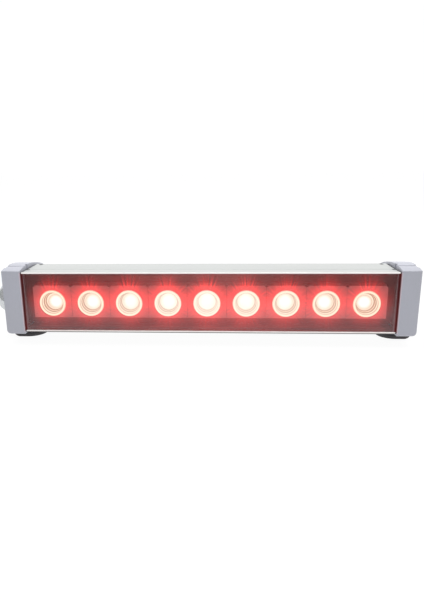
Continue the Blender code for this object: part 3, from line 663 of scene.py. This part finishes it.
def revolve(profile, at, axis, steps=48, ring=False, shape=None):
    """A profile of (radius, height in mm) points turned round an axis through a frame point; shape(i, angle, r) may change a radius."""
    d = AXIS[axis]
    side = Vector((0, 0, 1)) if abs(d.z) < 0.5 else Vector((1, 0, 0))
    e1 = d.cross(side).normalized()
    e2 = d.cross(e1)
    bm = bmesh.new()
    rings = []
    for i, (r, h) in enumerate(profile):
        centre = at + d * h * MM
        if r < 1e-6:
            rings.append([bm.verts.new(centre)])
            continue
        loop = []
        for k in range(steps):
            a = 2 * math.pi * k / steps
            rr = shape(i, a, r) if shape else r
            loop.append(bm.verts.new(centre + (e1 * math.cos(a) + e2 * math.sin(a)) * rr * MM))
        rings.append(loop)
    pairs = list(zip(rings, rings[1:]))
    if ring:
        pairs.append((rings[-1], rings[0]))
    for a, b in pairs:
        for k in range(steps):
            j = (k + 1) % steps
            if len(a) == 1:
                bm.faces.new((a[0], b[j], b[k]))
            elif len(b) == 1:
                bm.faces.new((a[k], a[j], b[0]))
            else:
                bm.faces.new((a[k], a[j], b[j], b[k]))
    bmesh.ops.recalc_face_normals(bm, faces=bm.faces)
    return bm


def block(lo, hi):
    lo, hi = W(*lo), W(*hi)
    bm = bmesh.new()
    size = hi - lo
    bmesh.ops.create_cube(bm, size=1.0, matrix=Matrix.Translation((lo + hi) * 0.5) @ Matrix.Diagonal((*size, 1.0)))
    return bm


def bar(at, axis, radius, length, sides=32):
    return revolve([(0.0, length / 2), (radius, length / 2), (radius, -length / 2), (0.0, -length / 2)], at, axis, sides)


def boolean(obj, bm, operation="DIFFERENCE"):
    """Cuts obj with, or joins it to, the shape in bm."""
    mesh = bpy.data.meshes.new("tool")
    bm.to_mesh(mesh)
    bm.free()
    tool = bpy.data.objects.new("tool", mesh)
    bpy.context.scene.collection.objects.link(tool)
    step = obj.modifiers.new("step", "BOOLEAN")
    step.operation = operation
    step.solver = "EXACT"
    step.object = tool
    applied(obj)
    bpy.data.objects.remove(tool, do_unlink=True)
    return obj


def soften(obj, width, segments=2, least=30.0, keep=None):
    """Rounds the object's edges in its mesh. keep(edge) may leave an edge as it is."""
    bm = bmesh.new()
    bm.from_mesh(obj.data)
    bmesh.ops.remove_doubles(bm, verts=bm.verts, dist=0.000003)
    bmesh.ops.dissolve_limit(bm, angle_limit=math.radians(0.6), verts=bm.verts, edges=bm.edges)
    edges = []
    for e in bm.edges:
        if len(e.link_faces) == 2 and e.calc_face_angle(0.0) > math.radians(least) and (keep is None or not keep(e)):
            edges.append(e)
    bmesh.ops.bevel(
        bm, geom=edges, offset=width * MM, offset_type="OFFSET", segments=segments, profile=0.5, affect="EDGES", clamp_overlap=True,
    )
    bmesh.ops.remove_doubles(bm, verts=bm.verts, dist=0.000002)
    bmesh.ops.recalc_face_normals(bm, faces=bm.faces)
    bm.to_mesh(obj.data)
    bm.free()
    obj.data.shade_smooth()
    obj.data.set_sharp_from_angle(angle=math.radians(38.0))
    return obj


# ------------------------------------------------------------------ channel
def build_channel():
    fins = (14.0, 11.2, -11.2, -14.0, -16.8)
    outline = [
        (0.6, 24.3), (11.0, 24.3), (11.2, 23.7), (11.8, 23.7), (12.0, 24.3), (36.5, 24.3), (48.0, 19.5), (52.5, 15.4),
    ]
    for z in fins:
        outline += [(52.5, z + 0.7), (57.0, z + 0.5), (57.0, z - 0.5), (52.5, z - 0.7)]
    outline += [
        (52.5, -18.2), (45.5, -24.3), (0.6, -24.3), (0.6, -22.7), (4.8, -22.7), (4.8, -20.8), (6.2, -20.8), (6.2, -21.8),
        (18.2, -21.8), (18.2, 22.0), (6.2, 22.0), (6.2, 21.2), (4.8, 21.2), (4.8, 23.1), (0.6, 23.1),
    ]

    def radius(i):
        y, z = outline[i]
        if (y, z) == (36.5, 24.3):
            return 7.0
        if (y, z) in ((48.0, 19.5), (45.5, -24.3)):
            return 5.0
        if y in (52.5, 57.0):
            return 0.4
        return 0.35

    chamber = [
        (20.7, 22.3), (25.4, 22.3), (25.4, 20.6), (26.4, 20.6), (26.4, 22.2), (28.6, 22.2), (28.6, 20.6), (29.6, 20.6), (29.6, 22.4),
        (35.0, 22.4), (36.3, 16.5), (38.0, 13.8), (43.0, 13.2), (50.0, 13.2), (50.0, -16.5), (46.0, -15.2), (41.3, -16.3),
        (40.3, -20.0), (40.3, -22.2), (29.6, -22.2), (29.6, -20.3), (28.6, -20.3), (28.6, -21.95), (26.4, -21.95), (26.4, -20.3),
        (25.4, -20.3), (25.4, -22.1), (20.7, -22.1),
    ]
    bm = prism_mesh("channel", "X", -144.3, 144.3, rounded(outline, radius), [chamber, *[circle(y, z, 1.75, 20) for y, z in PORTS]])
    obj = new_object("channel_shell", bm, MATS["channel"], 24.0)
    boolean(obj, bar(W(-60.0, 19.4, 9.0), "+Y", 1.5, 6.0, 24))
    for sign in (-1, 1):
        boolean(obj, bar(W(sign * 139.5, 33.0, 23.5), "+Z", 1.8, 6.0, 32))
    obj.data.shade_smooth()
    obj.data.set_sharp_from_angle(angle=math.radians(24.0))
    finish_piece(obj, "housing_extrusion")


build_channel()


# ------------------------------------------------------------------ glass
def build_glass():
    obj = new_object("front_pane", block((-144.0, 0.9, -22.4), (144.0, 3.4, 22.8)), MATS["glass"])
    soften(obj, 0.22, 2)
    finish_piece(obj, "front_glass")


build_glass()


# ------------------------------------------------------------------ end covers
def build_cover(side, sign):
    py, pz = PIVOT
    low = pz - 21.6
    start = math.degrees(math.asin(21.6 / 27.0))
    outline = [(0.0, low + 0.8), (0.8, low), *arc(py, pz, 27.0, -start, 12, 28)]
    outline += [(61.0, 13.2), (60.3, 16.4), (58.6, 19.0), (56.0, 20.7)]
    for i in range(19):
        t = i / 18
        yy = 54.0 - 54.0 * t
        if yy < 13.5:
            break
        # the arch of the top
        zz = np.interp(yy, [6.0, 11.0, 18.0, 24.0, 31.0, 38.0, 44.0, 50.0, 56.0], [26.5, 27.05, 27.45, 27.3, 26.6, 25.4, 24.2, 22.7, 20.7])
        outline.append((yy, float(zz)))
    outline += [(11.9, 27.2), (11.75, 26.6), (11.05, 26.6), (10.8, 27.05), (6.0, 26.5), (0.5, 25.5), (0.0, 25.0)]
    span = (145.5, 160.0) if sign > 0 else (-160.0, -145.5)
    obj = new_object(f"end_cover_shell_{side}", prism_mesh("cover", "X", *span, outline), MATS["cover"])
    r = 3.6
    shape = [(145.4, -28.0), (160.0 - r, -28.0), (160.0 - r, -25.9), *arc(160.0 - r, -25.9 + r, r, -90, 0, 10)[1:], (160.05, 30.0), (145.4, 30.0)]
    boolean(obj, prism_mesh("tool", "Y", -2.0, 66.0, [(sign * x, z) for x, z in shape]), "INTERSECT")
    x0, x1 = sorted((sign * 144.0, sign * 156.5))
    boolean(obj, block((x0, 4.0, -21.5), (x1, 24.0, 21.5)))
    x0, x1 = sorted((sign * 159.0, sign * 163.0))
    boolean(obj, block((x0, 7.0, 25.4), (x1, 15.5, 31.0)))
    boolean(obj, bar(W(sign * 145.5, 17.0, 27.5), "+Z", 1.7, 8.0, 32))

    def keep(e):
        # hidden inner edges of the pocket stay sharp
        c = (e.verts[0].co + e.verts[1].co) * 0.5
        return 4.0 < abs(c.x * 1000 - 6.0) - 140.0 < 16.8 and 3.5 < c.y * 1000 + 31 < 24.5 and abs(c.z * 1000 - 35.5) < 22.0

    soften(obj, 0.45, 3, 34.0, keep)
    out = "+X" if sign > 0 else "-X"
    boolean(obj, bar(W(sign * 156.0, py, pz), out, 3.3, 14.0, 40) if sign > 0 else bar(W(-153.0, py, pz), out, 8.3, 20.0, 64))
    for y, z in PORTS:
        boolean(obj, bar(W(sign * 152.0, y, z), out, 1.75, 20.0, 24))
        boolean(obj, bar(W(sign * 159.0, y, z), out, 3.4, 5.6, 40))
    obj.data.shade_smooth()
    obj.data.set_sharp_from_angle(angle=math.radians(30.0))
    finish_piece(obj, f"end_cover_{side}")


for side, sign in (("left", -1), ("right", 1)):
    build_cover(side, sign)


# ------------------------------------------------------------------ lens holders and lenses
def build_holder(side, m):
    w = 3 * PITCH
    x0 = (m - 1) * w - w / 2 + 0.1
    x1 = x0 + w - 0.2
    obj = new_object(f"lens_plate_{side}", block((x0, 5.0, -13.0), (x1, 16.0, 13.0)), MATS["holder"])
    boolean(obj, block((x0 + 1.5, 6.6, -11.5), (x1 - 1.5, 18.0, 11.5)))
    for k in range(3):
        x = ((m * 3 + k) - 4) * PITCH
        boolean(obj, bar(W(x, 6.0, LENS_Z), "+Y", 10.6, 8.0, 72))
    # shallow joints between the cells, and a nick in the top edge over each
    for k in (1, 2):
        x = x0 - 0.1 + k * PITCH
        boolean(obj, block((x - 0.18, 4.0, -14.0), (x + 0.18, 5.25, 14.0)))
    for k in range(4):
        x = x0 - 0.1 + k * PITCH
        boolean(obj, bar(W(x, 6.0, 13.4), "+Y", 1.7, 6.0, 24))
    finish_piece(obj, f"lens_holder_{side}")
    obj.data.set_sharp_from_angle(angle=math.radians(30.0))


for m, side in enumerate(("left", "centre", "right")):
    build_holder(side, m)

LENS = [
    (0.0, 12.9), (3.0, 13.0), (5.2, 13.1), (6.2, 12.9), (6.4, 12.3), (6.55, 11.0), (6.7, 10.6), (7.15, 10.4), (7.3, 10.0), (7.4, 8.6),
    (7.5, 8.3), (8.05, 8.05), (8.15, 7.7), (8.25, 5.8), (8.35, 5.3), (8.55, 4.85), (8.9, 4.55), (9.4, 4.35), (9.9, 4.3), (10.3, 4.45),
    (10.5, 4.8), (10.5, 6.0), (9.4, 6.6), (8.9, 13.5), (7.0, 13.9), (0.0, 13.85),
]
for i in range(9):
    x = (i - 4) * PITCH
    bm = revolve([(r, -y) for r, y in LENS], W(x, 0, LENS_Z), "-Y", 64)
    lens = new_object(f"collimator_{i + 1}", bm, MATS["lens"], 50.0)
    finish_piece(lens, f"lens_{i + 1}")


# ------------------------------------------------------------------ brackets
def build_bracket(side, sign):
    py, pz = PIVOT
    strip = [(110.0, -35.5), *arc(158.8, -30.0, 5.5, -90, 0, 12), (164.3, 20.0), (161.3, 20.0), *arc(158.8, -30.0, 2.5, 0, -90, 8), (110.0, -32.5)]
    obj = new_object(f"foot_bracket_{side}", prism_mesh("strip", "Y", py - 13.0, py + 13.0, [(sign * x, z) for x, z in strip]), MATS["bracket"])
    lo, hi = (100.0, 180.0) if sign > 0 else (-180.0, -100.0)
    arm = [*arc(py, pz, 13.01, 0, 180, 40), (py - 13.01, -60.0), (py + 13.01, -60.0)]
    boolean(obj, prism_mesh("arm", "X", lo, hi, arm), "INTERSECT")
    foot = [*arc(152.5, py, 13.01, 90, 270, 40), (180.0, py - 13.01), (180.0, py + 13.01)]
    boolean(obj, prism_mesh("foot", "Z", -50.0, 40.0, [(sign * x, y) for x, y in foot]), "INTERSECT")
    out = "+X" if sign > 0 else "-X"
    boolean(obj, bar(W(sign * 162.8, py, pz), out, 3.3 if sign > 0 else 8.3, 8.0, 64))
    slot = [*arc(152.5, py + 3.0, 3.25, 0, 180, 14), *arc(152.5, py - 3.0, 3.25, 180, 360, 14)]
    boolean(obj, prism_mesh("slot", "Z", -40.0, -28.0, [(sign * x, y) for x, y in slot]))
    soften(obj, 0.4, 3, 50.0)
    finish_piece(obj, f"tilt_bracket_{side}")


# ------------------------------------------------------------------ screws
def build_cover_screw(side, sign, y, z, where):
    out = "+X" if sign > 0 else "-X"
    profile = [(0.0, 2.55), (0.9, 2.5), (1.7, 2.3), (2.35, 1.9), (2.75, 1.3), (2.9, 0.6), (2.9, 0.0), (1.45, 0.0)]
    turns = 22
    for i in range(turns):
        h = -1.0 - i * 1.0
        profile += [(1.45, h), (1.2, h - 0.5)]
    profile += [(1.45, -23.4), (1.0, -25.0), (0.0, -25.0)]
    obj = new_object(f"pan_screw_{side}_{where}", revolve(profile, W(sign * 156.5, y, z), out, 32), MATS["steel"], 30.0)
    a = sign * 158.0
    for dy, dz in ((1.75, 0.35), (0.35, 1.75)):
        x0, x1 = sorted((a, sign * 161.0))
        boolean(obj, block((x0, y - dy, z - dz), (x1, y + dy, z + dz)))
    obj.data.shade_smooth()
    obj.data.set_sharp_from_angle(angle=math.radians(30.0))
    finish_piece(obj, f"cover_screw_{side}_{where}")


def build_lock_screw(side, sign):
    obj = new_object(
        f"grub_screw_{side}",
        revolve([(0.0, 24.1), (1.25, 24.1), (1.5, 23.85), (1.5, 21.5), (1.2, 21.2), (0.0, 21.2)], W(sign * 139.5, 33.0, 0.0), "+Z", 36),
        MATS["black_steel"], 30.0,
    )
    boolean(obj, revolve([(0.0, 25.0), (0.9, 25.0), (0.9, 22.6), (0.0, 22.4)], W(sign * 139.5, 33.0, 0.0), "+Z", 6))
    obj.data.set_sharp_from_angle(angle=math.radians(30.0))
    finish_piece(obj, f"lock_screw_{side}")


for side, sign in (("left", -1), ("right", 1)):
    build_bracket(side, sign)
    build_lock_screw(side, sign)
    for (y, z), where in zip(PORTS, ("upper", "lower")):
        build_cover_screw(side, sign, y, z, where)


# ------------------------------------------------------------------ right pivot bolt
def build_bolt():
    at = W(0.0, *PIVOT)
    profile = [(0.0, 169.95), (3.0, 169.95), (4.3, 169.75), (5.1, 169.2), (5.5, 168.2), (5.6, 166.9), (5.6, 166.0), (5.35, 165.7), (3.0, 165.7), (3.0, 159.0)]
    for i in range(8):
        profile += [(3.0, 158.0 - i), (2.7, 157.5 - i)]
    profile += [(2.9, 150.0), (2.4, 149.3), (0.0, 149.3)]
    obj = new_object("button_bolt", revolve(profile, at, "+X", 48), MATS["steel"], 30.0)
    boolean(obj, revolve([(0.0, 171.0), (2.9, 171.0), (2.6, 169.6), (2.55, 167.7), (0.0, 167.2)], at, "+X", 6))
    obj.data.shade_smooth()
    obj.data.set_sharp_from_angle(angle=math.radians(30.0))
    finish_piece(obj, "pivot_bolt_right")


build_bolt()


# ------------------------------------------------------------------ cable gland
def build_gland():
    hexr = 11.0 / math.cos(math.pi / 6)
    at = W(0.0, *PIVOT)

    def hexagon(near, far):
        """A hexagon with turned corners, between two distances from the middle."""
        h = new_object("hexagon", revolve([(0.0, far), (hexr, far), (hexr, near), (0.0, near)], at, "-X", 6), None)
        disc = [(0.0, far + 0.2), (10.8, far + 0.2), (11.3, far), (12.5, far - 0.6), (12.5, near + 0.6), (11.3, near), (10.8, near - 0.2), (0.0, near - 0.2)]
        boolean(h, revolve(disc, at, "-X", 72), "INTERSECT")
        bm = bmesh.new()
        bm.from_mesh(h.data)
        bpy.data.objects.remove(h, do_unlink=True)
        return bm

    dome = [
        (0.0, 182.0), (4.8, 182.0), (5.05, 181.85), (5.2, 181.4), (5.4, 180.7), (6.0, 179.6), (6.8, 178.6), (7.5, 177.8), (8.3, 177.0), (9.4, 176.0), (10.3, 175.1),
        (10.75, 174.2), (10.95, 173.2), (11.0, 172.4), (11.0, 169.5), (10.7, 169.2), (0.0, 169.2),
    ]
    obj = new_object("gland_cap", revolve(dome, at, "-X", 96), MATS["plated"], 32.0)
    boolean(obj, hexagon(169.8, 172.8), "UNION")
    boolean(obj, bar(W(-169.0, *PIVOT), "-X", 8.3, 13.0, 72))
    boolean(obj, revolve([(0.0, 182.5), (4.8, 182.5), (4.4, 181.5), (4.4, 170.0), (0.0, 170.0)], at, "-X", 72))
    obj.data.shade_smooth()
    obj.data.set_sharp_from_angle(angle=math.radians(30.0))
    finish_piece(obj, "gland_dome_nut")

    stem = [(0.0, 175.2), (7.7, 175.2)]
    for i in range(6):
        stem += [(8.0, 174.8 - i), (7.65, 174.3 - i)]
    stem += [(8.0, 168.8), (8.0, 151.0)]
    for i in range(9):
        stem += [(8.0, 150.6 - i), (7.65, 150.1 - i)]
    stem += [(7.8, 141.5), (7.4, 141.2), (0.0, 141.2)]
    obj = new_object("gland_stem", revolve(stem, at, "-X", 72), MATS["plated"], 32.0)
    boolean(obj, hexagon(165.7, 168.9), "UNION")
    boolean(obj, bar(W(-158.0, *PIVOT), "-X", 4.4, 50.0, 60))
    obj.data.shade_smooth()
    obj.data.set_sharp_from_angle(angle=math.radians(30.0))
    finish_piece(obj, "gland_body")

    lip = [(3.4, 181.2), (3.9, 181.15), (4.1, 180.8), (4.1, 168.2), (3.9, 168.0), (3.4, 168.0), (3.2, 168.3), (3.2, 180.9)]
    obj = new_object("gland_grommet", revolve(lip, at, "-X", 60, ring=True), MATS["rubber"], 40.0)
    finish_piece(obj, "gland_seal")


build_gland()


# ------------------------------------------------------------------ floor, light, world
def build_stage():
    bm = bmesh.new()
    bmesh.ops.create_grid(bm, x_segments=1, y_segments=1, size=6.0)
    floor = new_object("floor", bm, None)
    k = Mat("pale_floor")
    soft = k.noise(3.0, 2.0, 0.5)
    k.set(Base_Color=k.mix(soft, (0.095, 0.095, 0.095), (0.101, 0.101, 0.101)), Roughness=0.9)
    k.bsdf.inputs["Specular IOR Level"].default_value = 0.0
    k.bsdf.inputs["Emission Color"].default_value = (1, 1, 1, 1)
    k.bsdf.inputs["Emission Strength"].default_value = 0.925
    floor.data.materials.append(k.mat)

    # a white backdrop to look at, dimmer as a light
    world = bpy.data.worlds.new("studio")
    world.use_nodes = True
    nt = world.node_tree
    bg = nt.nodes["Background"]
    bg.inputs["Color"].default_value = (1.0, 1.0, 1.0, 1.0)
    # the studio's back wall is brighter than its front
    coord = nt.nodes.new("ShaderNodeTexCoord")
    split = nt.nodes.new("ShaderNodeSeparateXYZ")
    nt.links.new(coord.outputs["Generated"], split.inputs[0])
    wall = nt.nodes.new("ShaderNodeMapRange")
    wall.interpolation_type = "SMOOTHSTEP"
    nt.links.new(split.outputs[1], wall.inputs["Value"])
    wall.inputs["From Min"].default_value = -0.1
    wall.inputs["From Max"].default_value = 0.6
    wall.inputs["To Min"].default_value = 0.54
    wall.inputs["To Max"].default_value = 1.24
    nt.links.new(wall.outputs[0], bg.inputs["Strength"])
    seen = nt.nodes.new("ShaderNodeBackground")
    seen.inputs["Color"].default_value = (1.0, 1.0, 1.0, 1.0)
    seen.inputs["Strength"].default_value = 1.02
    path = nt.nodes.new("ShaderNodeLightPath")
    mixed = nt.nodes.new("ShaderNodeMixShader")
    nt.links.new(path.outputs["Is Camera Ray"], mixed.inputs[0])
    nt.links.new(bg.outputs[0], mixed.inputs[1])
    nt.links.new(seen.outputs[0], mixed.inputs[2])
    nt.links.new(mixed.outputs[0], nt.nodes["World Output"].inputs["Surface"])
    bpy.context.scene.world = world

    def area(name, at, to, size, power):
        light = bpy.data.lights.new(name, "AREA")
        light.shape = "RECTANGLE"
        light.size, light.size_y = size
        light.energy = power
        obj = bpy.data.objects.new(name, light)
        obj.location = at
        obj.rotation_euler = (Vector(to) - Vector(at)).to_track_quat("-Z", "Y").to_euler()
        bpy.context.scene.collection.objects.link(obj)

    area("top_soft", (0.05, 0.05, 1.3), (0.0, 0.0, 0.05), (1.8, 1.2), 17.0)
    scene = bpy.context.scene
    scene.view_settings.view_transform = "Standard"
    scene.view_settings.look = "None"


build_stage()
